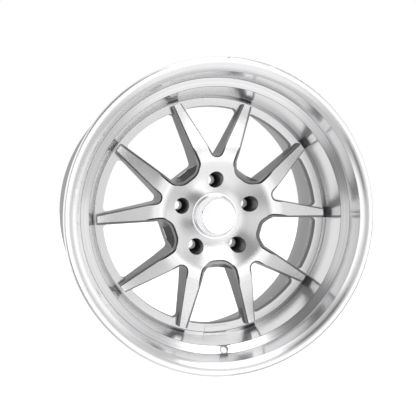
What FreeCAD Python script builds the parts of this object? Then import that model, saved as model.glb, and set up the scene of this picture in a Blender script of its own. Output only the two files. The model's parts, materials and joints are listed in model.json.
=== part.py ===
"""Three-piece forged wheel: polished stepped lip, inner barrel and a five double-spoke centre.

The wheel's axle line is Y and its street side faces -Y. The origin is on the axle line, in the
middle of the rim's width, which is also where the hub's mounting face lies. All lengths are in mm.
"""
import FreeCAD, Part
import math
import os

import Sketcher
from FreeCAD import Placement, Rotation, Vector

DOC = FreeCAD.newDocument("ForgedWheel")
SHEET = DOC.addObject("Spreadsheet::Sheet", "Sizes")

# Driving dimensions: alias, value in mm or degrees, what it is.
SIZES = [
    ("half_width", 139.0, "half of the whole width: a 10 in rim and its two flanges"),
    ("flange_wall", 12.0, "thickness of a tyre flange"),
    ("bead_rad", 231.0, "radius of the 18 in bead seat"),
    ("bead_toe_drop", 1.8, "fall of the 5 degree bead seat over its width"),
    ("flange_rad", 248.5, "radius of a tyre flange"),
    ("well_rad", 206.0, "radius of the drop well, tyre side"),
    ("roll_inner_rad", 227.3, "inner edge of the lip's rolled front"),
    ("roll_depth", 8.6, "depth of that edge behind the flange face"),
    ("step_top_rad", 221.7, "lip step, outer corner"),
    ("step_top_depth", 36.9, "its depth behind the flange face"),
    ("step_low_rad", 208.6, "lip step, inner edge"),
    ("step_low_depth", 43.6, "its depth behind the flange face"),
    ("wall_low_rad", 201.4, "foot of the lip's inner wall"),
    ("wall_low_depth", 88.0, "its depth behind the flange face"),
    ("register_rad", 197.6, "bore of the lip that locates the centre"),
    ("ring_front", 96.4, "depth of the centre ring's front face"),
    ("ring_thick", 14.0, "thickness of the centre's ring"),
    ("ring_rad", 197.4, "outer radius of the centre's ring"),
    ("ring_bevel", 0.8, "bevel of its front edge"),
    ("window_rad", 185.1, "inner radius of the centre's ring"),
    ("joint_inner_rad", 185.5, "inner radius of the bolted flanges"),
    ("joint_thick", 6.0, "thickness of one bolted flange"),
    ("valve_turn", 270.0, "angle of the valve hole"),
    ("valve_rad", 5.65, "radius of the valve hole"),
    ("valve_spot_rad", 7.3, "radius of the spot face round it"),
    ("valve_spot_deep", 0.8, "depth of that spot face"),
    ("bolt_circle_rad", 191.3, "assembly bolt circle"),
    ("bolt_count", 30.0, "number of assembly bolts"),
    ("bolt_rad", 3.45, "assembly bolt shank"),
    ("bolt_hole_rad", 3.6, "clearance hole for it"),
    ("bolt_grip", 22.0, "assembly bolt length under its head"),
    ("bolt_head_rad", 4.9, "corner radius of the twelve-point head"),
    ("bolt_head_tall", 5.0, "height of the head"),
    ("bolt_flange_rad", 5.5, "radius of the head's flange"),
    ("bolt_flange_tall", 1.4, "thickness of the head's flange"),
    ("washer_rad", 5.7, "washer radius"),
    ("washer_thick", 1.2, "washer thickness"),
    ("insert_rad", 4.15, "thread insert radius"),
    ("insert_bore_rad", 3.5, "thread insert bore"),
    ("insert_long", 9.0, "thread insert length"),
    ("insert_hole_deep", 11.0, "depth of the insert's hole"),
    ("lug_circle_rad", 60.325, "lug circle: 5 x 120.65"),
    ("lug_well_rad", 13.3, "lug nut well"),
    ("lug_seat_depth", 118.0, "depth of the well's floor behind the flange face"),
    ("lug_seat_rad", 13.1, "radius of a steel seat"),
    ("lug_seat_tall", 9.0, "height of a steel seat"),
    ("lug_cone_rad", 11.5, "mouth of the seat's 60 degree cone"),
    ("stud_hole_rad", 7.5, "stud hole"),
    ("pad_rad", 75.0, "radius of the mounting pad"),
    ("pad_edge_drop", 2.0, "height of the pad's chamfered edge"),
    ("pad_pocket_rad", 8.0, "radius of the pockets in the back of the pad"),
    ("pad_pocket_out", 57.0, "distance of those pockets from the axle line"),
    ("pad_pocket_deep", 28.0, "their depth"),
    ("hub_bore_rad", 39.05, "counterbore for the centring ring"),
    ("hub_bore_deep", 20.0, "depth of that counterbore"),
    ("hub_ring_rad", 39.0, "centring ring, outside"),
    ("hub_ring_bore", 35.15, "centring ring, bore for the axle hub"),
    ("hub_ring_long", 12.0, "centring ring length"),
    ("cap_bore_rad", 30.5, "bore that holds the centre cap"),
    ("cap_bore_long", 24.0, "length of that bore"),
    ("mid_bore_rad", 34.0, "bore between the cap and the axle hub"),
    ("cap_seat_rad", 38.5, "flat round the bore for the cap's flange"),
    ("cap_seat_depth", 84.0, "depth of that flat behind the flange face"),
    ("shoulder_in_rad", 90.0, "hub dish, outer edge"),
    ("shoulder_out_rad", 112.0, "where the spokes start to fall away"),
    ("shoulder_depth", 59.5, "depth of the shoulder behind the flange face"),
    ("tip_rad", 193.0, "outer end of a spoke's face"),
    ("tip_depth", 83.1, "depth of that end"),
    ("tip_turn", 18.0, "angle from a lug to the spoke's tip"),
    ("tip_half", 5.0, "half of a spoke's width at its tip"),
    ("skin", 3.2, "depth of the machined face above its ledge"),
    ("ledge", 1.6, "width of the ledge beside the face"),
    ("draft", 2.0, "draft of the window walls, degrees"),
    ("vee_apex", 98.0, "inner end of a narrow window"),
    ("vee_round", 10.5, "radius of that end"),
    ("vee_bevel", 2.0, "depth of the bevel round that end"),
    ("bay_bottom", 72.2, "inner end of a wide window"),
    ("bay_round", 23.2, "radius of its inner corners"),
    ("bay_root", 92.0, "where a wide window's half width is given"),
    ("bay_root_half", 28.4, "half width there"),
    ("bay_bevel", 3.3, "depth of the bevel round its inner end"),
    ("bevel_lean", 45.0, "angle of both bevels"),
    ("bay_ledge", 3.0, "width of the ledge in a wide window"),
    ("bay_slope", 16.5, "lean of the wall at its inner end, degrees"),
    ("bay_slope_in", 3.6, "how far in that wall starts, at the face"),
    ("bay_slope_deep", 36.5, "depth of its foot behind the shoulder"),
    ("bay_foot_in", 14.5, "how far in the upright wall below it stands"),
    ("window_corner", 8.5, "radius of a window's outer corners"),
    ("plate_half_turn", 5.7, "half angle of the blank name plate"),
    ("plate_in_rad", 187.3, "inner radius of the name plate"),
    ("plate_out_rad", 195.4, "outer radius of the name plate"),
    ("plate_tall", 0.8, "height of the name plate"),
    ("cap_flange_rad", 36.2, "cap flange radius"),
    ("cap_flange_tall", 2.2, "cap flange thickness"),
    ("cap_cone_rad", 34.6, "foot of the cap's cone"),
    ("cap_top_rad", 28.3, "top of the cap's cone"),
    ("cap_top_depth", 54.5, "depth of the cap's top behind the flange face"),
    ("badge_rad", 25.6, "badge radius"),
    ("badge_thick", 1.6, "badge thickness at its rim"),
    ("cap_leg_rad", 30.42, "outside of the cap's legs"),
    ("cap_leg_bore", 27.6, "inside of the cap's legs"),
    ("cap_leg_long", 20.0, "length of the cap's legs"),
    ("cap_leg_slot", 5.0, "slot between two legs"),
    ("oring_wire", 1.0, "section radius of the cap's rubber ring"),
    ("clip_wire", 1.0, "wire radius of the clip ring"),
]
for row, (alias, value, words) in enumerate(SIZES, start=1):
    SHEET.set(f"A{row}", words)
    SHEET.set(f"B{row}", str(value))
    SHEET.setAlias(f"B{row}", alias)
DOC.recompute()
VALUE = {alias: value for alias, value, words in SIZES}

PIECES = []


# ---------------------------------------------------------------- sheet and sketch helpers
def sized(text):
    """The expression with every <alias> written as a cell of the sheet."""
    for alias in VALUE:
        text = text.replace(f"<{alias}>", f"Sizes.{alias}")
    return text


def number(text):
    """The expression's value, as the sheet has it now."""
    answer = SHEET.evalExpression(sized(text))
    return float(getattr(answer, "Value", answer))


def place_at(depth):
    """Place along the axle of a depth behind the outboard flange face."""
    return f"({depth}) - <half_width>"


def new_body(name):
    made = DOC.addObject("PartDesign::Body", name)
    made.Label = name
    PIECES.append(made)
    return made


def origin_part(body, role):
    return next(part for part in body.Origin.OriginFeatures if part.Role == role)


def sketch_on(body, name, role, lift=None):
    """A sketch on one of the body's origin planes, moved by lift along that plane's normal."""
    made = body.newObject("Sketcher::SketchObject", name)
    made.AttachmentSupport = [(origin_part(body, role), "")]
    made.MapMode = "FlatFace"
    if lift:
        made.setExpression("AttachmentOffset.Base.z", sized(lift))
    DOC.recompute()
    return made


def face_sketch(body, name, depth):
    """A sketch square to the axle, at a depth behind the outboard flange face."""
    return sketch_on(body, name, "XZ_Plane", f"<half_width> - ({depth})")


def rule(sketch, *words):
    """Adds a constraint that has no size."""
    return sketch.addConstraint(Sketcher.Constraint(*words))


def bind(sketch, text, *words):
    """Adds a constraint whose size is tied to the sheet."""
    index = rule(sketch, *words, number(text))
    sketch.setExpression(f"Constraints[{index}]", sized(text))


def pin(sketch, shape, end, across, up):
    """Ties a point of a sketch to two expressions."""
    bind(sketch, across, "DistanceX", -1, 1, shape, end)
    bind(sketch, up, "DistanceY", -1, 1, shape, end)


def arc_between(centre, first, last):
    """The arc that runs anticlockwise about centre from first to last."""
    start = math.atan2(first.y - centre.y, first.x - centre.x)
    stop = math.atan2(last.y - centre.y, last.x - centre.x)
    if stop < start:
        stop += 2 * math.pi
    ring = Part.Circle(centre, Vector(0, 0, 1), (first - centre).Length)
    return Part.ArcOfCircle(ring, start, stop)


def outline(sketch, corners):
    """A closed outline of (across, up) or (across, up, rounding) corners, all expressions."""
    spots = [Vector(number(corner[0]), number(corner[1]), 0) for corner in corners]
    ways = [(after - spot).normalize() for spot, after in zip(spots, spots[1:] + spots[:1])]
    starts, stops, bends = [], [], []
    for index, corner in enumerate(corners):
        before, way, spot = ways[index - 1], ways[index], spots[index]
        rounding = number(corner[2]) if len(corner) > 2 else 0
        trim = rounding * math.tan(before.getAngle(way) / 2)
        stops.append(spot - before * trim)
        starts.append(spot + way * trim)
        left = before.cross(way).z > 0
        inward = Vector(-before.y, before.x, 0) * (1 if left else -1)
        bends.append((rounding, left, stops[-1] + inward * rounding))
    ends = stops[1:] + stops[:1]
    lines = [sketch.addGeometry(Part.LineSegment(*pair), False) for pair in zip(starts, ends)]
    for index, corner in enumerate(corners):
        before, line = lines[index - 1], lines[index]
        rounding, left, centre = bends[index]
        if not rounding:
            rule(sketch, "Coincident", before, 2, line, 1)
            pin(sketch, line, 1, corner[0], corner[1])
            continue
        pair = (stops[index], starts[index]) if left else (starts[index], stops[index])
        bend = sketch.addGeometry(arc_between(centre, *pair), False)
        rule(sketch, "Tangent", before, 2, bend, 1 if left else 2)
        rule(sketch, "Tangent", bend, 2 if left else 1, line, 1)
        bind(sketch, corner[2], "Radius", bend)
        mark = sketch.addGeometry(Part.Point(spots[index]), True)
        rule(sketch, "PointOnObject", mark, 1, before)
        rule(sketch, "PointOnObject", mark, 1, line)
        pin(sketch, mark, 1, corner[0], corner[1])


def turned(body, name, corners):
    """Turns an outline of (radius, place along the axle) corners round the axle line."""
    sketch = sketch_on(body, name + "_outline", "XY_Plane")
    outline(sketch, corners)
    made = body.newObject("PartDesign::Revolution", name)
    made.Profile = sketch
    made.ReferenceAxis = (sketch, ["V_Axis"])
    made.Angle = 360.0
    DOC.recompute()
    return made


def circle(sketch, radius, out="0", turn="0"):
    """A circle whose centre is out from the axle line, at an angle of turn degrees."""
    across = f"({out}) * cos(({turn}) * 1 deg)"
    up = f"({out}) * sin(({turn}) * 1 deg)"
    spot = Vector(number(across), number(up), 0)
    ring = sketch.addGeometry(Part.Circle(spot, Vector(0, 0, 1), number(radius)), False)
    bind(sketch, radius, "Radius", ring)
    pin(sketch, ring, 3, across, up)


def pocket(body, name, sketch, depth, draft=None, forward=False):
    """Cuts a sketch towards +Y, or forward to -Y, and checks that it took something away."""
    before = body.Shape.Volume
    made = body.newObject("PartDesign::Pocket", name)
    made.Profile = sketch
    made.Type = "Length"
    made.Reversed = forward
    made.setExpression("Length", sized(depth))
    if draft:
        made.setExpression("TaperAngle", sized(draft))
    DOC.recompute()
    if not made.Shape.isValid() or made.Shape.Volume > before - 1:
        raise RuntimeError(f"{name} cuts nothing")
    return made


def ring_of(body, name, feature, count):
    """Repeats a feature round the axle line."""
    made = body.newObject("PartDesign::PolarPattern", name)
    made.Originals = [feature]
    made.Axis = (origin_part(body, "Y_Axis"), [""])
    made.Angle = 360.0
    made.setExpression("Occurrences", sized(count))
    body.Tip = made
    DOC.recompute()
    return made


RING_BACK = "<ring_front> + <ring_thick>"
JOINT = f"{RING_BACK} + <joint_thick>"
JOINT_BACK = f"{RING_BACK} + 2 * <joint_thick>"


# ---------------------------------------------------------------- rim halves
def bolt_holes(body, radius, start, depth, forward=False):
    """The ring of assembly bolt holes."""
    sketch = face_sketch(body, "bolt_circle", start)
    circle(sketch, radius, "<bolt_circle_rad>", "180 / <bolt_count>")
    hole = pocket(body, "bolt_hole", sketch, depth, forward=forward)
    ring_of(body, "bolt_hole_ring", hole, "<bolt_count>")


def bead_side(side):
    """Tyre side of a rim half from the flange's rim to the hump; side is -1 outboard, 1 inboard."""
    corners = [
        ("<flange_rad>", "0.6 * <flange_wall>", "5"),
        ("<flange_rad> - 7", "<flange_wall>", "3"),
        ("<bead_rad>", "<flange_wall>", "6"),
        ("<bead_rad> - <bead_toe_drop>", "<flange_wall> + 19"),
        ("<bead_rad> - <bead_toe_drop> + 1.2", "<flange_wall> + 23", "4"),
        ("<bead_rad> - 2.6", "<flange_wall> + 27"),
    ]
    return [(out, f"{side} * (<half_width> - ({inset}))", *rest) for out, inset, *rest in corners]


def make_outer_lip():
    """Outboard rim half: rolled lip, stepped wall, drop well and the flange that is bolted up."""
    lip = new_body("outer_lip")
    turned(lip, "lip_turned", [
        ("<flange_rad>", place_at("0"), "3.5"),
        ("<flange_rad> - 12.5", place_at("0"), "20"),
        ("<roll_inner_rad>", place_at("<roll_depth>"), "0.6"),
        ("<step_top_rad>", place_at("<step_top_depth>"), "0.8"),
        ("<step_low_rad>", place_at("<step_low_depth>"), "0.8"),
        ("<wall_low_rad>", place_at("<wall_low_depth>"), "9"),
        ("<register_rad>", place_at("<ring_front>")),
        ("<register_rad>", place_at(RING_BACK)),
        ("<joint_inner_rad>", place_at(RING_BACK)),
        ("<joint_inner_rad>", place_at(JOINT)),
        ("<well_rad>", place_at(JOINT)),
        ("<well_rad>", place_at("<wall_low_depth>"), "10"),
        ("<step_low_rad> + 4.2", place_at("<step_low_depth> + 4.8"), "4"),
        ("<step_top_rad> + 3.8", place_at("<step_top_depth> + 4.7"), "4"),
        *bead_side(-1)[::-1],
    ])
    bolt_holes(lip, "<bolt_hole_rad>", f"{RING_BACK} - 1", "<joint_thick> + 2")
    drill_valve_hole(lip)


def drill_valve_hole(lip):
    """The valve's through hole and its spot face, square to the lip's step."""
    high = Vector(VALUE["step_top_rad"], VALUE["step_top_depth"] - VALUE["half_width"], 0)
    low = Vector(VALUE["step_low_rad"], VALUE["step_low_depth"] - VALUE["half_width"], 0)
    way = (low - high).normalize()
    turn = Rotation(Vector(0, 1, 0), -VALUE["valve_turn"])
    middle = turn.multVec((high + low) * 0.5)
    facing = turn.multVec(Vector(way.y, -way.x, 0))
    if facing.y > 0:
        facing = facing * -1
    for name, radius, reach in (
        ("valve_hole", "valve_rad", 12.0),
        ("valve_spot_face", "valve_spot_rad", VALUE["valve_spot_deep"]),
    ):
        before = lip.Shape.Volume
        drill = lip.newObject("PartDesign::SubtractiveCylinder", name)
        drill.setExpression("Radius", f"Sizes.{radius}")
        drill.Height = reach + 10.0
        drill.Placement = Placement(middle - facing * reach, Rotation(Vector(0, 0, 1), facing))
        DOC.recompute()
        if lip.Shape.Volume > before - 1:
            raise RuntimeError(f"{name} cuts nothing")


def make_inner_barrel():
    """Inboard rim half, from the bolted joint to the inboard flange."""
    barrel = new_body("inner_barrel")
    turned(barrel, "barrel_turned", [
        ("<joint_inner_rad>", place_at(JOINT)),
        ("<joint_inner_rad>", place_at(JOINT_BACK)),
        ("<wall_low_rad> - 1.2", place_at(JOINT_BACK), "3"),
        ("<wall_low_rad> - 0.4", "26", "25"),
        ("<step_top_rad> - 7", "61", "25"),
        ("<step_top_rad> - 5.4", "104"),
        ("<step_top_rad> - 4.4", "105"),
        ("<step_top_rad> - 1.7", "<half_width>", "1.5"),
        ("<flange_rad>", "<half_width>", "3.5"),
        *bead_side(1),
        ("<bead_rad> - 9", "68", "20"),
        ("<well_rad>", "32", "20"),
        ("<well_rad>", place_at(JOINT)),
    ])
    bolt_holes(barrel, "<bolt_hole_rad>", f"{JOINT} - 1", "<joint_thick> + 2")


def make_barrel_seal():
    """Bead of sealant laid over the joint between the rim halves, in the drop well."""
    seal = new_body("barrel_seal")
    turned(seal, "seal_bead", [
        ("<well_rad>", place_at(f"{JOINT} - 6")),
        ("<well_rad> + 2", place_at(f"{JOINT} - 3"), "3"),
        ("<well_rad> + 2", place_at(f"{JOINT} + 3"), "3"),
        ("<well_rad>", place_at(f"{JOINT} + 6")),
    ])


# ---------------------------------------------------------------- centre
def tip_edge(half):
    """The spoke's side line at its tip, for a window that points up and a half spoke width."""
    angle = f"(<tip_turn> * 1 deg - asin(({half}) / <tip_rad>))"
    return f"<tip_rad> * sin({angle})", f"<tip_rad> * cos({angle})"


def mirrored(spot):
    return Vector(-spot.x, spot.y, 0)


def mark_on(sketch, line, across, up):
    """Makes a line of the sketch pass a point given by two expressions."""
    mark = sketch.addGeometry(Part.Point(Vector(number(across), number(up), 0)), True)
    pin(sketch, mark, 1, across, up)
    rule(sketch, "PointOnObject", mark, 1, line)


def narrow_foot(sketch, ledge, inset, tip):
    """Rounded inner end of a narrow window. Gives the arcs' ends and where the right side starts."""
    rounding = f"<vee_round> - ({inset})"
    middle = "<vee_apex> + <vee_round>"
    centre, size = Vector(0, number(middle), 0), number(rounding)
    toward = tip - centre
    lean = math.atan2(toward.y, toward.x) - math.acos(size / toward.Length)
    foot = centre + Vector(math.cos(lean), math.sin(lean), 0) * size
    arc = sketch.addGeometry(arc_between(centre, mirrored(foot), foot), False)
    pin(sketch, arc, 3, "0", middle)
    bind(sketch, rounding, "Radius", arc)
    return (arc, 2), (arc, 1), foot, []


def wide_foot(sketch, ledge, inset, tip):
    """Flat inner end of a wide window with its two round corners, as narrow_foot."""
    rounding, bottom = f"<bay_round> - ({inset})", f"<bay_bottom> + ({inset})"
    root = (f"<bay_root_half> - ({ledge})", "<bay_root>")
    size, low = number(rounding), number(bottom)
    way = (tip - Vector(number(root[0]), number(root[1]), 0)).normalize()
    out = Vector(way.y, -way.x, 0)
    across = (out.dot(tip) - size - out.y * (low + size)) / out.x
    centre = Vector(across, low + size, 0)
    foot, base = centre + out * size, Vector(across, low, 0)
    right = sketch.addGeometry(arc_between(centre, base, foot), False)
    left = sketch.addGeometry(arc_between(mirrored(centre), mirrored(foot), mirrored(base)), False)
    flat = sketch.addGeometry(Part.LineSegment(mirrored(base), base), False)
    rule(sketch, "Tangent", left, 2, flat, 1)
    rule(sketch, "Tangent", flat, 2, right, 1)
    rule(sketch, "Horizontal", flat)
    bind(sketch, bottom, "DistanceY", -1, 1, flat, 1)
    for arc in (right, left):
        bind(sketch, rounding, "Radius", arc)
    return (right, 2), (left, 1), foot, [root]


def window(sketch, wide, ledge, inset, closed):
    """Outline of a window that points up: open windows run out past the ring, closed ones end at it.

    Its sides stand the ledge in from the face's outline, and its inner end stands the inset in.
    """
    tip_across, tip_up = tip_edge(f"<tip_half> + ({ledge})")
    tip = Vector(number(tip_across), number(tip_up), 0)
    make_foot = wide_foot if wide else narrow_foot
    right_arc, left_arc, foot, roots = make_foot(sketch, ledge, inset, tip)
    way = (tip - foot).normalize()
    out = Vector(way.y, -way.x, 0)
    if closed:
        rim, corner = number("<window_rad>"), number("<window_corner>")
        gap = out.dot(tip) - corner
        bend = out * gap + way * math.sqrt((rim - corner) ** 2 - gap ** 2)
        top = bend + out * corner
        rim_spot = bend * (rim / (rim - corner))
    else:
        top = tip + way * 22
    right = sketch.addGeometry(Part.LineSegment(foot, top), False)
    left = sketch.addGeometry(Part.LineSegment(mirrored(top), mirrored(foot)), False)
    rule(sketch, "Tangent", *right_arc, right, 1)
    rule(sketch, "Tangent", *left_arc, left, 2)
    for across, up in [(tip_across, tip_up), *roots]:
        mark_on(sketch, right, across, up)
        mark_on(sketch, left, f"-1 * ({across})", up)
    if not closed:
        lid = sketch.addGeometry(Part.LineSegment(top, mirrored(top)), False)
        rule(sketch, "Coincident", right, 2, lid, 1)
        rule(sketch, "Coincident", lid, 2, left, 1)
        rule(sketch, "Horizontal", lid)
        bind(sketch, "<tip_rad> + 12", "DistanceY", -1, 1, lid, 1)
        return
    right_bend = sketch.addGeometry(arc_between(bend, top, rim_spot), False)
    rim_arc = sketch.addGeometry(arc_between(Vector(), rim_spot, mirrored(rim_spot)), False)
    left_bend = sketch.addGeometry(
        arc_between(mirrored(bend), mirrored(rim_spot), mirrored(top)), False)
    rule(sketch, "Tangent", right, 2, right_bend, 1)
    rule(sketch, "Tangent", right_bend, 2, rim_arc, 1)
    rule(sketch, "Tangent", rim_arc, 2, left_bend, 1)
    rule(sketch, "Tangent", left_bend, 2, left, 1)
    rule(sketch, "Coincident", rim_arc, 3, -1, 1)
    bind(sketch, "<window_rad>", "Radius", rim_arc)
    bind(sketch, "<window_corner>", "Radius", right_bend)
    bind(sketch, "<window_corner>", "Radius", left_bend)


def cut_window(centre, name, wide, ledge, closed, depth, draft=None, inset=None):
    """Five narrow windows over the lugs, or five wide ones between them, from 1 mm off the face."""
    label = f"{'wide' if wide else 'narrow'}_{name}"
    sketch = face_sketch(centre, label + "_outline", "<shoulder_depth> - 1")
    window(sketch, wide, ledge, inset or ledge, closed)
    if wide:
        sketch.AttachmentOffset = Placement(
            sketch.AttachmentOffset.Base, Rotation(Vector(0, 0, 1), 36))
        DOC.recompute()
    cut = pocket(centre, label, sketch, f"{depth} + 1", draft)
    ring_of(centre, label + "_ring", cut, "5")


def face_line(lowered):
    """Front of the centre from the cap's seat to the spoke tips, lowered by some depth."""
    corners = [
        ("<cap_seat_rad>", "<cap_seat_depth>"),
        ("<shoulder_in_rad>", "<shoulder_depth>", "30"),
        ("<shoulder_out_rad>", "<shoulder_depth> + 1", "60"),
        ("<tip_rad>", "<tip_depth>"),
    ]
    return [(out, place_at(f"{depth} + {lowered}"), *rest) for out, depth, *rest in corners]


def make_wheel_centre():
    """Forged centre: hub, ten spokes in pairs, their machined face and the ring that is bolted."""
    centre = new_body("wheel_centre")
    turned(centre, "machined_face", face_line("0") + face_line("<skin>")[::-1])
    for wide, bevel in ((False, "<vee_bevel>"), (True, "<bay_bevel>")):
        cut_window(centre, "face_cut", wide, "0", False, "60")
        cut_window(centre, "bevel", wide, f"-1 * {bevel} - 1", False, bevel, "-1 * <bevel_lean>")
    turned(centre, "forging", [
        ("<cap_bore_rad>", place_at("<cap_seat_depth>")),
        ("<cap_seat_rad>", place_at("<cap_seat_depth>")),
        *face_line("<skin>"),
        ("<tip_rad>", place_at("<ring_front>")),
        ("<ring_rad> - <ring_bevel>", place_at("<ring_front>")),
        ("<ring_rad>", place_at("<ring_front> + <ring_bevel>")),
        ("<ring_rad>", place_at(RING_BACK)),
        ("<window_rad> - 6", place_at(RING_BACK)),
        ("<shoulder_out_rad> + 10", place_at(f"{RING_BACK} + 2"), "30"),
        ("<pad_rad> + 10", place_at("<half_width> - 16"), "10"),
        ("<pad_rad>", "-1 * <pad_edge_drop>"),
        ("<pad_rad> - <pad_edge_drop>", "0"),
        ("<hub_bore_rad>", "0"),
        ("<hub_bore_rad>", "-1 * <hub_bore_deep>"),
        ("<mid_bore_rad>", "-1 * <hub_bore_deep>"),
        ("<mid_bore_rad>", place_at("<cap_seat_depth> + <cap_bore_long>")),
        ("<cap_bore_rad>", place_at("<cap_seat_depth> + <cap_bore_long>")),
    ])
    shelf = "<ring_front> - <shoulder_depth>"
    for wide, ledge, inset in ((False, "<ledge>", None), (True, "<bay_ledge>", "<bay_foot_in>")):
        cut_window(centre, "window", wide, ledge, True, "<half_width>", "-1 * <draft>", inset)
        cut_window(centre, "shelf", wide, ledge, False, shelf, "-1 * <draft>", inset)
    cut_window(centre, "slope", True, "<bay_ledge>", False, "<bay_slope_deep>", "-1 * <bay_slope>",
               "<bay_slope_in>")
    drill_centre(centre)
    add_name_plate(centre)


def drill_centre(centre):
    """Lug wells, stud holes, weight-saving pockets in the pad and the insert holes in the ring."""
    above = "<shoulder_depth> - 10"
    for name, radius, floor in (
        ("lug_well", "<lug_well_rad>", "<lug_seat_depth>"),
        ("stud_hole", "<stud_hole_rad>", "<half_width> + 1"),
    ):
        sketch = face_sketch(centre, name + "_circle", above)
        circle(sketch, radius, "<lug_circle_rad>", "90")
        hole = pocket(centre, name, sketch, f"{floor} - ({above})")
        ring_of(centre, name + "_ring", hole, "5")
    sketch = face_sketch(centre, "pad_pocket_circle", "<half_width> + 1")
    circle(sketch, "<pad_pocket_rad>", "<pad_pocket_out>", "126")
    hole = pocket(centre, "pad_pocket", sketch, "<pad_pocket_deep> + 1", forward=True)
    ring_of(centre, "pad_pocket_ring", hole, "5")
    bolt_holes(centre, "<insert_rad>", f"{RING_BACK} + 1", "<insert_hole_deep> + 1", forward=True)


def add_name_plate(centre):
    """The blank raised plate on the ring, in the middle of the lowest wide window."""
    sketch = face_sketch(centre, "name_plate_outline", "<ring_front>")
    lean = math.radians(VALUE["plate_half_turn"])
    arcs = []
    for radius in ("<plate_out_rad>", "<plate_in_rad>"):
        left = Vector(-math.sin(lean), -math.cos(lean), 0) * number(radius)
        arc = sketch.addGeometry(arc_between(Vector(), left, mirrored(left)), False)
        rule(sketch, "Coincident", arc, 3, -1, 1)
        bind(sketch, radius, "Radius", arc)
        bind(sketch, f"{radius} * sin(<plate_half_turn> * 1 deg)", "DistanceX", -1, 1, arc, 2)
        bind(sketch, f"-1 * {radius} * sin(<plate_half_turn> * 1 deg)", "DistanceX", -1, 1, arc, 1)
        arcs.append((arc, left))
    (outer, low), (inner, high) = arcs
    for end, flip in ((1, Vector), (2, mirrored)):
        side = sketch.addGeometry(Part.LineSegment(flip(low), flip(high)), False)
        rule(sketch, "Coincident", side, 1, outer, end)
        rule(sketch, "Coincident", side, 2, inner, end)
    plate = centre.newObject("PartDesign::Pad", "name_plate")
    plate.Profile = sketch
    plate.setExpression("Length", "Sizes.plate_tall")
    DOC.recompute()


# ---------------------------------------------------------------- hub hardware
def make_lug_seats():
    """Five steel seats with a 60 degree cone, pressed into the floors of the lug wells."""
    top = "<lug_seat_depth> - <lug_seat_tall>"
    cone_fall = "(<lug_cone_rad> - <stud_hole_rad>) / tan(30 deg)"
    for index in range(5):
        seat = new_body(f"lug_seat_{index + 1}")
        sketch_corners = [
            ("<lug_cone_rad>", place_at(top)),
            ("<lug_seat_rad> - 0.6", place_at(top)),
            ("<lug_seat_rad>", place_at(f"{top} + 0.6")),
            ("<lug_seat_rad>", place_at("<lug_seat_depth>")),
            ("<stud_hole_rad>", place_at("<lug_seat_depth>")),
            ("<stud_hole_rad>", place_at(f"{top} + {cone_fall}")),
        ]
        turned(seat, f"seat_turned_{index + 1}", sketch_corners)
        angle = f"(90 - 72 * {index}) * 1 deg"
        seat.setExpression("Placement.Base.x", sized(f"<lug_circle_rad> * cos({angle})"))
        seat.setExpression("Placement.Base.z", sized(f"<lug_circle_rad> * sin({angle})"))


def make_hub_ring():
    """Centring ring that fits the wheel's bore to the axle hub."""
    ring = new_body("hub_ring")
    turned(ring, "ring_turned", [
        ("<hub_ring_bore>", "-1 * <hub_ring_long> - 0.5"),
        ("<hub_ring_rad>", "-1 * <hub_ring_long> - 0.5"),
        ("<hub_ring_rad>", "-0.5"),
        ("<hub_ring_bore> + 1", "-0.5"),
        ("<hub_ring_bore>", "-1.5"),
    ])


# ---------------------------------------------------------------- centre cap
def make_cap_body():
    """Cone cap with a flange on the hub and six slotted legs in the bore."""
    cap = new_body("cap_body")
    seat, top = "<cap_seat_depth>", "<cap_top_depth>"
    groove = f"{seat} + 3"
    turned(cap, "cap_turned", [
        ("0", place_at(f"{top} + <badge_thick>")),
        ("<badge_rad> + 0.1", place_at(f"{top} + <badge_thick>")),
        ("<badge_rad> + 0.1", place_at(top)),
        ("<cap_top_rad>", place_at(top), "1"),
        ("<cap_cone_rad>", place_at(f"{seat} - <cap_flange_tall>"), "1.5"),
        ("<cap_flange_rad>", place_at(f"{seat} - <cap_flange_tall>"), "0.8"),
        ("<cap_flange_rad>", place_at(seat)),
        ("<cap_leg_rad>", place_at(seat)),
        ("<cap_leg_rad>", place_at(groove)),
        ("<cap_leg_rad> - 2", place_at(groove)),
        ("<cap_leg_rad> - 2", place_at(f"{groove} + 2.7")),
        ("<cap_leg_rad>", place_at(f"{groove} + 2.7")),
        ("<cap_leg_rad>", place_at(f"{seat} + <cap_leg_long> - 1.5")),
        ("<cap_leg_rad> - 1", place_at(f"{seat} + <cap_leg_long>")),
        ("<cap_leg_bore> - 1.2", place_at(f"{seat} + <cap_leg_long>")),
        ("<cap_leg_bore> - 1.2", place_at(f"{seat} + <cap_leg_long> - 2")),
        ("<cap_leg_bore>", place_at(f"{seat} + <cap_leg_long> - 2")),
        ("<cap_leg_bore>", place_at(f"{seat} + 4")),
        ("<cap_leg_bore> - 4", place_at(f"{seat} + 1")),
        ("<cap_top_rad> - 4", place_at(f"{top} + <badge_thick> + 2.5")),
        ("0", place_at(f"{top} + <badge_thick> + 2.5")),
    ])
    sketch = face_sketch(cap, "leg_slot_outline", f"{seat} + <cap_leg_long> + 1")
    outline(sketch, [
        ("<cap_leg_bore> - 4", "-0.5 * <cap_leg_slot>"),
        ("<cap_leg_rad> + 4", "-0.5 * <cap_leg_slot>"),
        ("<cap_leg_rad> + 4", "0.5 * <cap_leg_slot>"),
        ("<cap_leg_bore> - 4", "0.5 * <cap_leg_slot>"),
    ])
    slot = pocket(cap, "leg_slot", sketch, "<cap_leg_long> - 7", forward=True)
    ring_of(cap, "leg_slot_ring", slot, "6")


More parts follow.
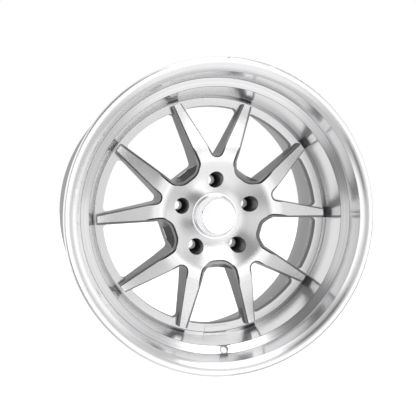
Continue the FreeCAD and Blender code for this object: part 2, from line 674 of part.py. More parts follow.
def make_cap_badge():
    """Blank, slightly domed disc in the cap's face."""
    badge = new_body("cap_badge")
    turned(badge, "badge_turned", [
        ("0", place_at("<cap_top_depth> - 0.6")),
        ("<badge_rad> * 0.5", place_at("<cap_top_depth> - 0.45"), "200"),
        ("<badge_rad>", place_at("<cap_top_depth>")),
        ("<badge_rad>", place_at("<cap_top_depth> + <badge_thick>")),
        ("0", place_at("<cap_top_depth> + <badge_thick>")),
    ])


def make_torus(name, middle, wire, depth):
    """A ring of round section about the axle line."""
    ring = DOC.addObject("Part::Torus", name)
    ring.Label = name
    ring.setExpression("Radius1", sized(middle))
    ring.setExpression("Radius2", sized(wire))
    ring.Placement = Placement(Vector(), Rotation(Vector(1, 0, 0), 90))
    ring.setExpression("Placement.Base.y", sized(place_at(depth)))
    PIECES.append(ring)


# ---------------------------------------------------------------- assembly hardware
def tube(outer, inner, start, length):
    """A plain tube on the assembly bolt circle, along +Y from a depth behind the flange face."""
    foot = Vector(VALUE["bolt_circle_rad"], start - VALUE["half_width"], 0)
    way = Vector(0, 1, 0)
    solid = Part.makeCylinder(outer, length, foot, way)
    return solid.cut(Part.makeCylinder(inner, length, foot, way)) if inner else solid


def twelve_point(across_corners, start, length):
    """A twelve-point prism: two hexagons, one turned by 30 degrees."""
    middle = Vector(VALUE["bolt_circle_rad"], start - VALUE["half_width"], 0)
    stars = []
    for lean in (0, 30):
        corners = []
        for step in range(7):
            angle = math.radians(60 * step + lean)
            corners.append(middle + Vector(math.cos(angle), 0, math.sin(angle)) * across_corners)
        stars.append(Part.Face(Part.makePolygon(corners)).extrude(Vector(0, length, 0)))
    return stars[0].fuse(stars[1]).removeSplitter()


def make_ring_group(name, solid):
    """Thirty copies of one solid round the axle line, as one node of separate solids."""
    count = int(VALUE["bolt_count"])
    copies = []
    for index in range(count):
        copy = solid.copy()
        copy.rotate(Vector(), Vector(0, 1, 0), 360 / count * (index + 0.5))
        copies.append(copy)
    group = DOC.addObject("Part::Feature", name)
    group.Label = name
    group.Shape = Part.makeCompound(copies)
    group.Placement = Placement()
    PIECES.append(group)


def make_assembly_hardware():
    """Bolts put in from the back, their washers and the threaded sleeves in the centre's ring."""
    back = VALUE["ring_front"] + VALUE["ring_thick"] + 2 * VALUE["joint_thick"]
    under_head = back + VALUE["washer_thick"]
    shank = tube(VALUE["bolt_rad"], 0, under_head - VALUE["bolt_grip"], VALUE["bolt_grip"])
    flange = tube(VALUE["bolt_flange_rad"], 0, under_head, VALUE["bolt_flange_tall"])
    head = twelve_point(VALUE["bolt_head_rad"], under_head, VALUE["bolt_head_tall"])
    make_ring_group("assembly_bolts", shank.fuse([flange, head]).removeSplitter())
    make_ring_group("bolt_washers",
                    tube(VALUE["washer_rad"], VALUE["bolt_hole_rad"], back, VALUE["washer_thick"]))
    ring_back = VALUE["ring_front"] + VALUE["ring_thick"]
    make_ring_group("thread_inserts",
                    tube(VALUE["insert_rad"], VALUE["insert_bore_rad"],
                         ring_back - VALUE["insert_long"], VALUE["insert_long"]))


def write_pieces():
    """Checks every object, then writes each piece to its own file."""
    DOC.recompute()
    for item in DOC.Objects:
        if "Invalid" in item.State or "Error" in item.State:
            raise RuntimeError(f"{item.Name} is in state {item.State}")
    os.makedirs("parts", exist_ok=True)
    for piece in PIECES:
        if piece.Shape.isNull() or not piece.Shape.isValid():
            raise RuntimeError(f"{piece.Label} has no valid shape")
        piece.Shape.exportStep(f"parts/{piece.Label}.step")
        print(f"{piece.Label}: {len(piece.Shape.Solids)} solid(s), {piece.Shape.Volume / 1000:.1f} cm3")


make_outer_lip()
make_wheel_centre()
make_inner_barrel()
make_barrel_seal()
make_lug_seats()
make_hub_ring()
make_cap_body()
make_cap_badge()
make_torus("cap_oring", "<cap_leg_rad> - 1.98 + <oring_wire>", "<oring_wire>",
           "<cap_seat_depth> + 4.35")
make_torus("cap_clip_ring", "<cap_leg_bore> - <clip_wire> - 0.1", "<clip_wire>",
           "<cap_seat_depth> + <cap_leg_long> - 3.1")
make_assembly_hardware()
write_pieces()
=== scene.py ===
"""Looks of a forged three-piece wheel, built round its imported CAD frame.

Metres throughout. The axle line is Y, the street side faces -Y and the first lug hole is up.
"""

import json
import math

import bpy
from bpy.props import FloatProperty, FloatVectorProperty, PointerProperty
from bpy.types import Operator, Panel, PropertyGroup
from mathutils import Matrix, Vector

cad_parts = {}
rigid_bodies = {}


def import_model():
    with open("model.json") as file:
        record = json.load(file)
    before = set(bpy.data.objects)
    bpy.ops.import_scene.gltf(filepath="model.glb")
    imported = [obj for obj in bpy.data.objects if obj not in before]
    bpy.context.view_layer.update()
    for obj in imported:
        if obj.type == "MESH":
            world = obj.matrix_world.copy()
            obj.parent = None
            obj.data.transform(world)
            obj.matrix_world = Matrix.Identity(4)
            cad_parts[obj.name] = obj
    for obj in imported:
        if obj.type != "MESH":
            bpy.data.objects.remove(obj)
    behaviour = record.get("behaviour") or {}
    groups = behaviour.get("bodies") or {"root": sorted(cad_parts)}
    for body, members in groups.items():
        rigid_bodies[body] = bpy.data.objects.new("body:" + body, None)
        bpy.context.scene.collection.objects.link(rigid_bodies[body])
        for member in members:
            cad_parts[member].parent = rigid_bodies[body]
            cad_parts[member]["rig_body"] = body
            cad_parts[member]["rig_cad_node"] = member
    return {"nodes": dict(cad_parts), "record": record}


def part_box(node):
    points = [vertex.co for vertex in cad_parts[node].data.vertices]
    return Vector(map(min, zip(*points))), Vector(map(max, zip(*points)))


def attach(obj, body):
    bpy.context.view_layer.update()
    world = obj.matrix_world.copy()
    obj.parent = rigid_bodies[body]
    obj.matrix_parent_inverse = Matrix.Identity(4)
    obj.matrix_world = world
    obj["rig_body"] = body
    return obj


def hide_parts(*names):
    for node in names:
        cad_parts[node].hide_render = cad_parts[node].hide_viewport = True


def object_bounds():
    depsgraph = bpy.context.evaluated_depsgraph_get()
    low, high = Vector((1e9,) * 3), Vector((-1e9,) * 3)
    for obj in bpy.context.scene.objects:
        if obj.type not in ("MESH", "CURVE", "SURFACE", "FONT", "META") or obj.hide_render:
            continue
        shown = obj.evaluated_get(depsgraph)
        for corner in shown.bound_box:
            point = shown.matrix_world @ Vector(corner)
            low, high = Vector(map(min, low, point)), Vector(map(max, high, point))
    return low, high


bl_info = {
    "name": "Forged Wheel",
    "version": (1, 0, 0),
    "blender": (4, 5, 0),
    "location": "3D View > Sidebar > Wheel",
    "description": "Finishes the pieces of a forged three-piece wheel and sets up its studio",
    "category": "Object",
}

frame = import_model()
CAD_BOX = [list(corner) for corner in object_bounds()]
LIP_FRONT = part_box("outer_lip")[0].y
CENTRE_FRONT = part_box("wheel_centre")[0].y
VALVE = next(mount for mount in frame["record"]["mounts"] if mount["name"] == "valve_hole")
VALVE_SPOT, VALVE_AXIS = Vector(VALVE["pos_m"]), Vector(VALVE["axis"])

MERGE_DISTANCE = 0.000002
# A quarter turn stretches reflections across the lathe lines instead of along them.
ACROSS_THE_LINES = 0.25
# How squarely a face looks at the street, as the depth part of its normal.
FACES_STREET, FACES_STREET_ROUNDLY, FACES_BACK, FACES_SIDEWAYS = -0.85, -0.6, 0.3, 0.3
# Where the face, its ledge and its cut edge end, in face depths behind the face.
FACE_ENDS, LEDGE_ENDS, EDGE_ENDS = 0.6, 2, 1.35
RING_REACH = 0.0012
WELL_START, WELL_END, WELL_BACK = 0.0465, 0.0745, -0.001
VALVE_WALL_START, VALVE_DEPTH = 0.75, 2


def length(name, description, default):
    """A size that a user may change, in metres."""
    return FloatProperty(name=name, description=description, default=default, unit="LENGTH", precision=5)


def share(name, description, default):
    """A plain number from 0 to 1."""
    return FloatProperty(name=name, description=description, default=default, min=0.0, max=1.0)


def angle(name, description, degrees):
    """An angle that a user sees in degrees."""
    return FloatProperty(name=name, description=description, default=math.radians(degrees), subtype="ANGLE")


def colour(name, description, default):
    """A linear colour."""
    return FloatVectorProperty(
        name=name, description=description, default=default, subtype="COLOR", min=0.0, max=1.0)


class WheelSizes(PropertyGroup):
    """Sizes that tell the centre's surfaces apart, and the scale of the finishes."""

    seat_radius: length("Cap seat", "Outer radius of the flat under the cap", 0.0385)
    seat_fall: length("Cap seat fall", "How far the cap's seat lies behind the shoulder", 0.0245)
    shoulder_in: length("Shoulder start", "Radius where the hub's dish ends", 0.090)
    shoulder_out: length("Shoulder end", "Radius where the spokes start to fall away", 0.112)
    shoulder_fall: length("Shoulder fall", "Fall of the face across the shoulder", 0.001)
    tip_radius: length("Spoke tip", "Radius of the spokes' outer ends", 0.193)
    tip_fall: length("Spoke fall", "Fall of the face from the shoulder to the tips", 0.0236)
    face_depth: length("Face depth", "Height of the machined face above its ledge", 0.0032)
    ring_fall: length("Ring fall", "How far the ring's front lies behind the shoulder", 0.0369)
    valve_reach: length("Valve spot", "Radius of the spot face round the valve hole", 0.0074)
    edge_reach: length("Edge reach", "How far a rounded edge of the lip reaches", 0.0014)
    turning_pitch: length("Turning pitch", "Spacing of the lathe lines", 0.0016)


class WheelColours(PropertyGroup):
    """Colours and finishes of the wheel."""

    polished: colour("Polished lip", "Mirror polished aluminium", (0.92, 0.92, 0.93))
    # Painted shade: a dark metal on the lip's rounded step edges and valve hole walls, standing in for the dark
    # lines that reflections and shade draw there.
    lip_edge_shade: colour("Lip edges", "Rounded edges of the lip's steps", (0.20, 0.20, 0.205))
    machined: colour("Machined face", "Diamond-cut aluminium", (0.93, 0.93, 0.935))
    ring: colour("Ring face", "Turned front of the centre's ring", (0.70, 0.70, 0.705))
    # Painted shade: near-black on the narrow cut walls between the face and its ledge, drawing dark outlines
    # round the windows.
    edge: colour("Cut edge", "Shaded bevel round the windows", (0.025, 0.025, 0.027))
    ledge: colour("Ledges", "Silver-grey paint on the ledges beside the face", (0.26, 0.26, 0.265))
    window: colour("Window walls", "Silver-grey paint in the windows", (0.085, 0.085, 0.088))
    well: colour("Lug wells", "Dark paint in the lug wells", (0.24, 0.24, 0.245))
    barrel: colour("Barrel", "Satin grey paint on the inner half", (0.36, 0.36, 0.365))
    cap: colour("Cap", "Bright chrome", (0.90, 0.90, 0.91))
    badge: colour("Badge", "Satin silver disc", (0.90, 0.90, 0.91))
    steel: colour("Plated steel", "Plated bolts, bare washers and inserts, and spring wire", (0.62, 0.62, 0.63))
    dark_steel: colour("Dark steel", "Dark zinc on the lug seats", (0.16, 0.16, 0.165))
    rubber: colour("Rubber", "Black nitrile ring", (0.012, 0.012, 0.012))
    sealant: colour("Sealant", "Matt grey silicone", (0.12, 0.12, 0.125))
    polish_haze: share("Polish haze", "Roughness of the polished lip", 0.19)
    polish_streak: share("Polish streak", "How much the lip's lathe lines stretch reflections", 0.9)
    machined_haze: share("Machined haze", "Roughness of the machined face", 0.27)
    machined_streak: share("Machined streak", "How much the face's lathe lines stretch reflections", 0.85)
    paint_haze: share("Paint haze", "Roughness of the painted walls", 0.42)


class WheelStudio(PropertyGroup):
    """Camera and light."""

    lens: FloatProperty(name="Lens", description="Focal length in millimetres", default=60.0)
    azimuth: angle("Azimuth", "Camera turned round the wheel", -14.58)
    elevation: angle("Elevation", "Camera above the axle line", 2.87)
    lean: angle("Lean", "Camera turned about the axle line", 1.16)
    distance: length("Distance", "From the camera to the middle of the lip's front", 1.0738)
    shift_x: FloatProperty(name="Shift X", description="Sideways framing", default=-0.0472)
    shift_y: FloatProperty(name="Shift Y", description="Upward framing", default=0.0247)
    surround: share("Surround", "Brightness of the grey surround in reflections", 0.60)
    floor_glow: share("Floor glow", "Light that the pale floor gives off itself", 0.78)


# ---------------------------------------------------------------- meshes
def only(piece):
    """Selects one object and makes it the active one."""
    bpy.ops.object.select_all(action="DESELECT")
    piece.select_set(True)
    bpy.context.view_layer.objects.active = piece


def merged_copy(node, name):
    """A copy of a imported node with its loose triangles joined, which stands for that node."""
    source = frame["nodes"][node]
    body = source["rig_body"]
    only(source)
    bpy.ops.object.duplicate()
    piece = bpy.context.object
    piece.name = name
    piece.data.name = name
    del piece["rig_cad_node"]
    bpy.ops.object.mode_set(mode="EDIT")
    bpy.ops.mesh.select_all(action="SELECT")
    bpy.ops.mesh.remove_doubles(threshold=MERGE_DISTANCE, use_sharp_edge_from_normals=True)
    bpy.ops.object.mode_set(mode="OBJECT")
    piece.data.materials.clear()
    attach(piece, body)
    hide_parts(node)
    return piece


def finish_faces(piece, material, test=None):
    """Gives a material to the faces that pass a test, or to all of them."""
    piece.data.materials.append(material)
    if test is None:
        return
    only(piece)
    bpy.context.tool_settings.mesh_select_mode = (False, False, True)
    for edge in piece.data.edges:
        edge.select = False
    for vertex in piece.data.vertices:
        vertex.select = False
    for face in piece.data.polygons:
        face.select = test(face)
    piece.active_material_index = len(piece.data.materials) - 1
    bpy.ops.object.mode_set(mode="EDIT")
    bpy.ops.object.material_slot_assign()
    bpy.ops.object.mode_set(mode="OBJECT")


def finish_node(node, material):
    """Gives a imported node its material."""
    mesh = frame["nodes"][node].data
    mesh.materials.clear()
    mesh.materials.append(material)


# ---------------------------------------------------------------- finishes
def new_group(name, inputs, outputs):
    """A shader node group with named number inputs and outputs, and its two end nodes."""
    tree = bpy.data.node_groups.new(name, "ShaderNodeTree")
    for label, default in inputs:
        tree.interface.new_socket(label, in_out="INPUT", socket_type="NodeSocketFloat").default_value = default
    for label in outputs:
        tree.interface.new_socket(label, in_out="OUTPUT", socket_type="NodeSocketFloat")
    return tree, tree.nodes.new("NodeGroupInput"), tree.nodes.new("NodeGroupOutput")


def maths(tree, operation, first, second=None, third=None, clamp=False):
    """A math node between sockets or numbers. Gives its output."""
    node = tree.nodes.new("ShaderNodeMath")
    node.operation = operation
    node.use_clamp = clamp
    for socket, value in zip(node.inputs, (first, second, third)):
        if isinstance(value, bpy.types.NodeSocket):
            tree.links.new(value, socket)
        elif value is not None:
            socket.default_value = value
    return node.outputs[0]


def noise(tree, scale, detail, vector=None, one_way=None):
    """A noise between 0 and 1, in space or along one number. Gives its output."""
    node = tree.nodes.new("ShaderNodeTexNoise")
    node.inputs["Detail"].default_value = detail
    if one_way is not None:
        node.noise_dimensions = "1D"
        tree.links.new(one_way, node.inputs["W"])
    else:
        tree.links.new(vector, node.inputs["Vector"])
    if isinstance(scale, bpy.types.NodeSocket):
        tree.links.new(scale, node.inputs["Scale"])
    else:
        node.inputs["Scale"].default_value = scale
    return node.outputs["Fac"]


def turning_group():
    """Lathe lines round the axle line: one value that rises and falls with the radius and the depth."""
    tree, start, end = new_group("turning_lines", [("Pitch", 0.0016)], ["Lines", "Bands"])
    place = tree.nodes.new("ShaderNodeTexCoord").outputs["Object"]
    parts = tree.nodes.new("ShaderNodeSeparateXYZ")
    tree.links.new(place, parts.inputs[0])
    across = maths(tree, "MULTIPLY", parts.outputs["X"], parts.outputs["X"])
    up = maths(tree, "MULTIPLY", parts.outputs["Z"], parts.outputs["Z"])
    radius = maths(tree, "SQRT", maths(tree, "ADD", across, up))
    along = maths(tree, "ADD", radius, parts.outputs["Y"])
    fine = maths(tree, "DIVIDE", along, start.outputs["Pitch"])
    tree.links.new(noise(tree, 1.0, 3.0, one_way=fine), end.inputs["Lines"])
    tree.links.new(noise(tree, 0.06, 2.0, one_way=fine), end.inputs["Bands"])
    return tree


def handling_group():
    """Faint cloudy marks of polishing and handling."""
    tree, start, end = new_group("handling_marks", [("Size", 0.05)], ["Cloud", "Speckle"])
    place = tree.nodes.new("ShaderNodeTexCoord").outputs["Object"]
    scale = maths(tree, "DIVIDE", 1.0, start.outputs["Size"])
    tree.links.new(noise(tree, scale, 4.0, vector=place), end.inputs["Cloud"])
    fine = maths(tree, "MULTIPLY", scale, 40.0)
    tree.links.new(noise(tree, fine, 2.0, vector=place), end.inputs["Speckle"])
    return tree


def use_group(tree, group, **values):
    """Places a node group in a material with its own values."""
    node = tree.nodes.new("ShaderNodeGroup")
    node.node_tree = bpy.data.node_groups[group]
    for label, value in values.items():
        node.inputs[label].default_value = value
    return node


def spread(tree, value, low, high):
    """Maps a value between 0 and 1 to a range."""
    return maths(tree, "MULTIPLY_ADD", value, high - low, low)


def tinted(tree, value, tint, low, high):
    """A colour whose brightness moves between low and high with a value."""
    mix = tree.nodes.new("ShaderNodeMix")
    mix.data_type = "RGBA"
    tree.links.new(value, mix.inputs["Factor"])
    mix.inputs["A"].default_value = (*[part * low for part in tint], 1)
    mix.inputs["B"].default_value = (*[min(1, part * high) for part in tint], 1)
    return mix.outputs["Result"]


def bump(tree, shader, height, depth):
    """Turns a height into a bump of a real depth on the shader."""
    node = tree.nodes.new("ShaderNodeBump")
    node.inputs["Distance"].default_value = depth
    tree.links.new(height, node.inputs["Height"])
    tree.links.new(node.outputs["Normal"], shader.inputs["Normal"])


def new_material(name, metallic, coat=0.0):
    """A material with a Principled shader. Gives the material, its tree and the shader."""
    material = bpy.data.materials.new(name)
    material.use_nodes = True
    tree = material.node_tree
    shader = tree.nodes["Principled BSDF"]
    shader.inputs["Metallic"].default_value = metallic
    shader.inputs["Coat Weight"].default_value = coat
    shader.inputs["Coat Roughness"].default_value = 0.08
    return material, tree, shader


def turned_metal(name, tint, haze, pitch, depth, streak=0.0):
    """Metal with lathe lines: polished when the haze is low, diamond-cut when it is higher."""
    material, tree, shader = new_material(name, 1.0)
    lines = use_group(tree, "turning_lines", Pitch=pitch)
    marks = use_group(tree, "handling_marks", Size=0.06)
    both = maths(tree, "MULTIPLY_ADD", marks.outputs["Cloud"], 0.4,
                 maths(tree, "MULTIPLY", lines.outputs["Bands"], 0.6))
    tree.links.new(tinted(tree, lines.outputs["Lines"], tint, 0.93, 1.06), shader.inputs["Base Color"])
    tree.links.new(spread(tree, both, haze * 0.8, haze * 1.2), shader.inputs["Roughness"])
    shader.inputs["Anisotropic"].default_value = streak
    if streak:
        around = tree.nodes.new("ShaderNodeTangent")
        around.direction_type = "RADIAL"
        around.axis = "Y"
        tree.links.new(around.outputs["Tangent"], shader.inputs["Tangent"])
        shader.inputs["Anisotropic Rotation"].default_value = ACROSS_THE_LINES
    bump(tree, shader, lines.outputs["Lines"], depth)
    return material


def painted(name, tint, haze, metallic, coat):
    """Sprayed paint with a fine metallic grain and a slight orange peel."""
    material, tree, shader = new_material(name, metallic, coat)
    marks = use_group(tree, "handling_marks", Size=0.04)
    tree.links.new(tinted(tree, marks.outputs["Speckle"], tint, 0.82, 1.18), shader.inputs["Base Color"])
    tree.links.new(spread(tree, marks.outputs["Cloud"], haze * 0.85, haze * 1.15), shader.inputs["Roughness"])
    bump(tree, shader, marks.outputs["Speckle"], 0.00003)
    return material


def soft_part(name, tint, haze):
    """Rubber or silicone: no shine, a grainy skin."""
    material, tree, shader = new_material(name, 0.0)
    marks = use_group(tree, "handling_marks", Size=0.008)
    tree.links.new(tinted(tree, marks.outputs["Cloud"], tint, 0.7, 1.3), shader.inputs["Base Color"])
    tree.links.new(spread(tree, marks.outputs["Speckle"], haze - 0.1, haze + 0.1), shader.inputs["Roughness"])
    bump(tree, shader, marks.outputs["Speckle"], 0.00006)
    return material


# ---------------------------------------------------------------- pieces
# Street-side edges of the lip: radius, and depth behind its front, in metres.
LIP_EDGES = ((0.2273, 0.0086), (0.2217, 0.0369), (0.2086, 0.0436))


class WheelOperator:
    """What the wheel's operators share."""

    bl_options = {"REGISTER", "UNDO"}

    @property
    def sizes(self):
        return bpy.context.scene.wheel_sizes

    @property
    def colours(self):
        return bpy.context.scene.wheel_colours


class WHEEL_OT_finishes(WheelOperator, Operator):
    """Make the node groups that the finishes share"""

    bl_idname = "wheel.finishes"
    bl_label = "Shared Finishes"

    def execute(self, context):
        turning_group()
        handling_group()
        return {"FINISHED"}


class WHEEL_OT_lip(WheelOperator, Operator):
    """Polish the outer lip, and paint shade on the rounded edges of its steps and inside its valve hole"""

    bl_idname = "wheel.lip"
    bl_label = "Outer Lip"

    def on_step_edge(self, face):
        out, deep = math.hypot(face.center.x, face.center.z), face.center.y - LIP_FRONT
        return any(math.hypot(out - edge[0], deep - edge[1]) < self.sizes.edge_reach for edge in LIP_EDGES)

    def in_valve_hole(self, face):
        away = face.center - VALVE_SPOT
        reach = self.sizes.valve_reach
        in_wall = VALVE_WALL_START * reach < away.cross(VALVE_AXIS).length < reach
        return in_wall and away.length < VALVE_DEPTH * reach

    def execute(self, context):
        paint = self.colours
        lip = merged_copy("outer_lip", "polished_lip")
        finish_faces(lip, turned_metal(
            "polished_aluminium", paint.polished, paint.polish_haze, self.sizes.turning_pitch, 0.0000015,
            paint.polish_streak))
        # Painted shade: the rounded step edges and the valve hole walls get a dark metal.
        finish_faces(lip, turned_metal(
            "lip_edge_shade", paint.lip_edge_shade, paint.polish_haze, self.sizes.turning_pitch, 0.0000015),
            lambda face: self.on_step_edge(face) or self.in_valve_hole(face))
        return {"FINISHED"}


class WHEEL_OT_centre(WheelOperator, Operator):
    """Give the centre its machined face, painted shade on its cut edges, and painted windows"""

    bl_idname = "wheel.centre"
    bl_label = "Wheel Centre"

    def face_fall(self, radius):
        """How far the machined face lies behind the shoulder at a radius."""
        size = self.sizes
        if radius < size.shoulder_in:
            part = (radius - size.seat_radius) / (size.shoulder_in - size.seat_radius)
            return size.seat_fall * (1 - min(1, max(0, part)))
        if radius < size.shoulder_out:
            return size.shoulder_fall * (radius - size.shoulder_in) / (size.shoulder_out - size.shoulder_in)
        part = (radius - size.shoulder_out) / (size.tip_radius - size.shoulder_out)
        return size.shoulder_fall + (size.tip_fall - size.shoulder_fall) * part

    def below_face(self, spot):
        """How far a point lies behind the machined face."""
        return spot.y - CENTRE_FRONT - self.face_fall(math.hypot(spot.x, spot.z))

    def on_face(self, face):
        return face.normal.y < FACES_STREET and self.below_face(face.center) < FACE_ENDS * self.sizes.face_depth

    def on_ledge(self, face):
        depth = self.below_face(face.center)
        step = self.sizes.face_depth
        return face.normal.y < FACES_STREET and FACE_ENDS * step < depth < LEDGE_ENDS * step

    def on_ring(self, face):
        ring = CENTRE_FRONT + self.sizes.ring_fall
        return face.normal.y < FACES_STREET_ROUNDLY and abs(face.center.y - ring) < RING_REACH

    def on_edge(self, face):
        if face.normal.y < FACES_STREET or face.normal.y > FACES_BACK:
            return False
        corners = [self.mesh.vertices[index].co for index in face.vertices]
        return max(self.below_face(spot) for spot in corners) < EDGE_ENDS * self.sizes.face_depth

    def in_well(self, face):
        spot = face.center
        out = math.hypot(spot.x, spot.z)
        sideways = abs(face.normal.y) < FACES_SIDEWAYS
        return WELL_START < out < WELL_END and sideways and spot.y < WELL_BACK

    def execute(self, context):
        paint = self.colours
        size = self.sizes
        centre = merged_copy("wheel_centre", "forged_centre")
        self.mesh = centre.data
        finish_faces(centre, painted("window_paint", paint.window, paint.paint_haze, 0.55, 0.3))
        finish_faces(centre, painted("well_paint", paint.well, paint.paint_haze, 0.4, 0.2), self.in_well)
        machined = turned_metal(
            "machined_face", paint.machined, paint.machined_haze, size.turning_pitch * 0.6, 0.000003,
            paint.machined_streak)
        finish_faces(centre, machined, self.on_face)
        finish_faces(centre, turned_metal(
            "ring_face", paint.ring, paint.machined_haze, size.turning_pitch * 1.5, 0.00001,
            paint.machined_streak), self.on_ring)
        finish_faces(centre, painted("ledge_paint", paint.ledge, 0.3, 0.7, 0.3), self.on_ledge)
        # Painted shade: the narrow cut walls at the face's edge get a near-black paint.
        finish_faces(centre, painted("painted_edge_shade", paint.edge, 0.3, 0.4, 0.3), self.on_edge)
        return {"FINISHED"}


class WHEEL_OT_barrel(WheelOperator, Operator):
    """Paint the inner barrel and colour the sealant bead"""

    bl_idname = "wheel.barrel"
    bl_label = "Inner Barrel"

    def execute(self, context):
        paint = self.colours
        barrel = merged_copy("inner_barrel", "painted_barrel")
        finish_faces(barrel, painted("barrel_paint", paint.barrel, paint.paint_haze, 0.35, 0.0))
        finish_node("barrel_seal", soft_part("silicone", paint.sealant, 0.7))
        return {"FINISHED"}


class WHEEL_OT_hardware(WheelOperator, Operator):
    """Finish the assembly bolts, washers, inserts, lug seats and centring ring"""

    bl_idname = "wheel.hardware"
    bl_label = "Hardware"

    def execute(self, context):
        paint = self.colours
        plated = turned_metal("plated_steel", paint.steel, 0.24, 0.0007, 0.000002)
        bare = turned_metal("bare_steel", paint.steel, 0.38, 0.0005, 0.000004)
        dark = turned_metal("dark_zinc", paint.dark_steel, 0.42, 0.0008, 0.000005)
        finish_node("assembly_bolts", plated)
        finish_node("bolt_washers", bare)
        finish_node("thread_inserts", bare)
        for node in sorted(frame["nodes"]):
            if node.startswith("lug_seat_"):
                finish_node(node, dark)
        finish_node("hub_ring", turned_metal("turned_ring", paint.machined, 0.35, 0.0009, 0.000004))
        return {"FINISHED"}


class WHEEL_OT_cap(WheelOperator, Operator):
    """Chrome the centre cap and finish its badge, rubber ring and spring ring"""

    bl_idname = "wheel.cap"
    bl_label = "Centre Cap"

    def execute(self, context):
        paint = self.colours
        finish_node("cap_body", turned_metal("chrome", paint.cap, 0.07, 0.003, 0.0000004))
        finish_node("cap_badge", turned_metal("satin_badge", paint.badge, 0.3, 0.0006, 0.000001))
        finish_node("cap_oring", soft_part("nitrile", paint.rubber, 0.6))
        finish_node("cap_clip_ring", turned_metal("spring_wire", paint.steel, 0.2, 0.0004, 0.000001))
        return {"FINISHED"}


# ---------------------------------------------------------------- studio
# Soft boxes and dark flags round the wheel: azimuth and elevation in degrees, half width of the
# even part and of the soft edge in degrees, and the brightness in the middle.
ZONES = (
    (180.0, 0.0, 55.0, 85.0, 0.92),
    (100.0, 5.0, 18.0, 46.0, 1.15),
    (-78.0, 5.0, 24.0, 44.0, 1.20),
    (10.0, 80.0, 12.0, 32.0, 1.15),
    (20.0, 50.0, 13.0, 24.0, 1.20),
    (18.0, -46.0, 18.0, 34.0, 0.95),
    (15.0, -3.0, 8.0, 15.0, 1.55),
    (-17.0, 29.0, 8.0, 17.0, 0.10),
    (-28.0, -17.0, 5.0, 13.0, 0.10),
    (-15.0, 3.0, 5.0, 14.0, 0.55),
)


def toward(azimuth, elevation):
    """The direction out to a place in the studio; azimuth 0 is in front of the street side."""
    turn, rise = math.radians(azimuth), math.radians(elevation)
    return Vector((math.sin(turn) * math.cos(rise), -math.cos(turn) * math.cos(rise), math.sin(rise)))


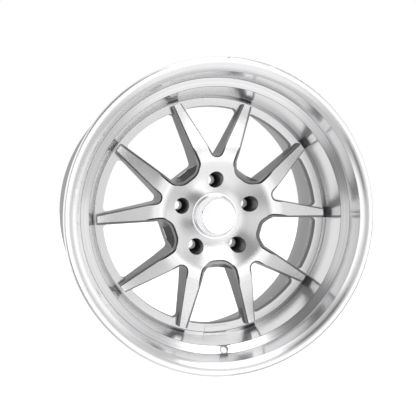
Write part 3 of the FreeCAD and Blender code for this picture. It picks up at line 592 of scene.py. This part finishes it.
class WHEEL_OT_studio(WheelOperator, Operator):
    """Build the pale floor, the surround, the soft lights and the camera"""

    bl_idname = "wheel.studio"
    bl_label = "Studio"

    def lay_floor(self, studio):
        bpy.ops.object.select_all(action="DESELECT")
        bpy.ops.mesh.primitive_plane_add(size=12.0, location=(0, 0, CAD_BOX[0][2]))
        floor = bpy.context.object
        floor.name = "studio_floor"
        material, tree, shader = new_material("pale_floor", 0.0)
        shader.inputs["Base Color"].default_value = (0.5, 0.5, 0.5, 1)
        shader.inputs["Roughness"].default_value = 0.9
        shader.inputs["Specular IOR Level"].default_value = 0.0
        shader.inputs["Emission Color"].default_value = (1, 1, 1, 1)
        shader.inputs["Emission Strength"].default_value = studio.floor_glow
        floor.data.materials.append(material)
        floor.visible_glossy = False

    def surround(self, studio):
        """White world for the eye; the light it gives is grey, with soft boxes and dark flags."""
        world = bpy.data.worlds.new("studio")
        world.use_nodes = True
        tree = world.node_tree
        lamp = tree.nodes["Background"]
        way = tree.nodes.new("ShaderNodeTexCoord").outputs["Generated"]
        light = studio.surround
        for azimuth, elevation, core, soft, level in ZONES:
            dot = tree.nodes.new("ShaderNodeVectorMath")
            dot.operation = "DOT_PRODUCT"
            tree.links.new(way, dot.inputs[0])
            dot.inputs[1].default_value = toward(azimuth, elevation)
            inside = tree.nodes.new("ShaderNodeMapRange")
            inside.interpolation_type = "SMOOTHSTEP"
            tree.links.new(dot.outputs["Value"], inside.inputs["Value"])
            inside.inputs["From Min"].default_value = math.cos(math.radians(soft))
            inside.inputs["From Max"].default_value = math.cos(math.radians(core))
            change = maths(tree, "SUBTRACT", level, light)
            light = maths(tree, "MULTIPLY_ADD", inside.outputs["Result"], change, light)
        eye = tree.nodes.new("ShaderNodeLightPath").outputs["Is Camera Ray"]
        tree.links.new(maths(tree, "MAXIMUM", light, eye), lamp.inputs["Strength"])
        lamp.inputs["Color"].default_value = (1, 1, 1, 1)
        bpy.context.scene.world = world

    def soft_box(self, name, azimuth, elevation, distance, size, power):
        """A large square lamp that looks at the wheel."""
        back = toward(azimuth, elevation)
        lamp = bpy.data.lights.new(name, "AREA")
        lamp.size = size
        lamp.energy = power
        lit = bpy.data.objects.new(name, lamp)
        bpy.context.scene.collection.objects.link(lit)
        lit.location = back * distance
        lit.rotation_euler = back.to_track_quat("Z", "Y").to_euler()

    def camera(self, studio):
        data = bpy.data.cameras.new("camera")
        data.lens = studio.lens
        data.sensor_width = 36.0
        data.shift_x = studio.shift_x
        data.shift_y = studio.shift_y
        data.clip_start = 0.05
        back = toward(math.degrees(studio.azimuth), math.degrees(studio.elevation))
        place = Matrix.Translation(Vector((0, LIP_FRONT, 0)) + back * studio.distance)
        seen = place @ back.to_track_quat("Z", "Y").to_matrix().to_4x4()
        camera = bpy.data.objects.new("camera", data)
        camera.matrix_world = Matrix.Rotation(studio.lean, 4, "Y") @ seen
        bpy.context.scene.collection.objects.link(camera)
        bpy.context.scene.camera = camera

    def execute(self, context):
        studio = context.scene.wheel_studio
        self.lay_floor(studio)
        self.surround(studio)
        self.soft_box("key_light", 18, 46, 2.2, 1.1, 3.5)
        self.soft_box("fill_light", 60, 10, 2.4, 1.6, 1.5)
        self.camera(studio)
        context.scene.view_settings.view_transform = "Standard"
        return {"FINISHED"}


class WHEEL_PT_steps(Panel):
    """Lists the steps and the values they use"""

    bl_idname = "WHEEL_PT_steps"
    bl_label = "Forged Wheel"
    bl_space_type = "VIEW_3D"
    bl_region_type = "UI"
    bl_category = "Wheel"

    def draw(self, context):
        layout = self.layout
        for step in STEPS:
            layout.operator(step.bl_idname)
        for name in GROUPS:
            values = getattr(context.scene, name)
            box = layout.box()
            for key in values.__annotations__:
                box.prop(values, key)


GROUPS = {"wheel_sizes": WheelSizes, "wheel_colours": WheelColours, "wheel_studio": WheelStudio}
STEPS = (
    WHEEL_OT_finishes, WHEEL_OT_lip, WHEEL_OT_centre, WHEEL_OT_barrel, WHEEL_OT_hardware, WHEEL_OT_cap,
    WHEEL_OT_studio,
)
CLASSES = (*GROUPS.values(), *STEPS, WHEEL_PT_steps)


def register():
    for item in CLASSES:
        bpy.utils.register_class(item)
    for name, group in GROUPS.items():
        setattr(bpy.types.Scene, name, PointerProperty(type=group))


def unregister():
    for name in GROUPS:
        delattr(bpy.types.Scene, name)
    for item in reversed(CLASSES):
        bpy.utils.unregister_class(item)


def main():
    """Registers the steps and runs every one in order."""
    register()
    bpy.ops.wheel.finishes()
    bpy.ops.wheel.lip()
    bpy.ops.wheel.centre()
    bpy.ops.wheel.barrel()
    bpy.ops.wheel.hardware()
    bpy.ops.wheel.cap()
    bpy.ops.wheel.studio()


if __name__ == "__main__":
    main()
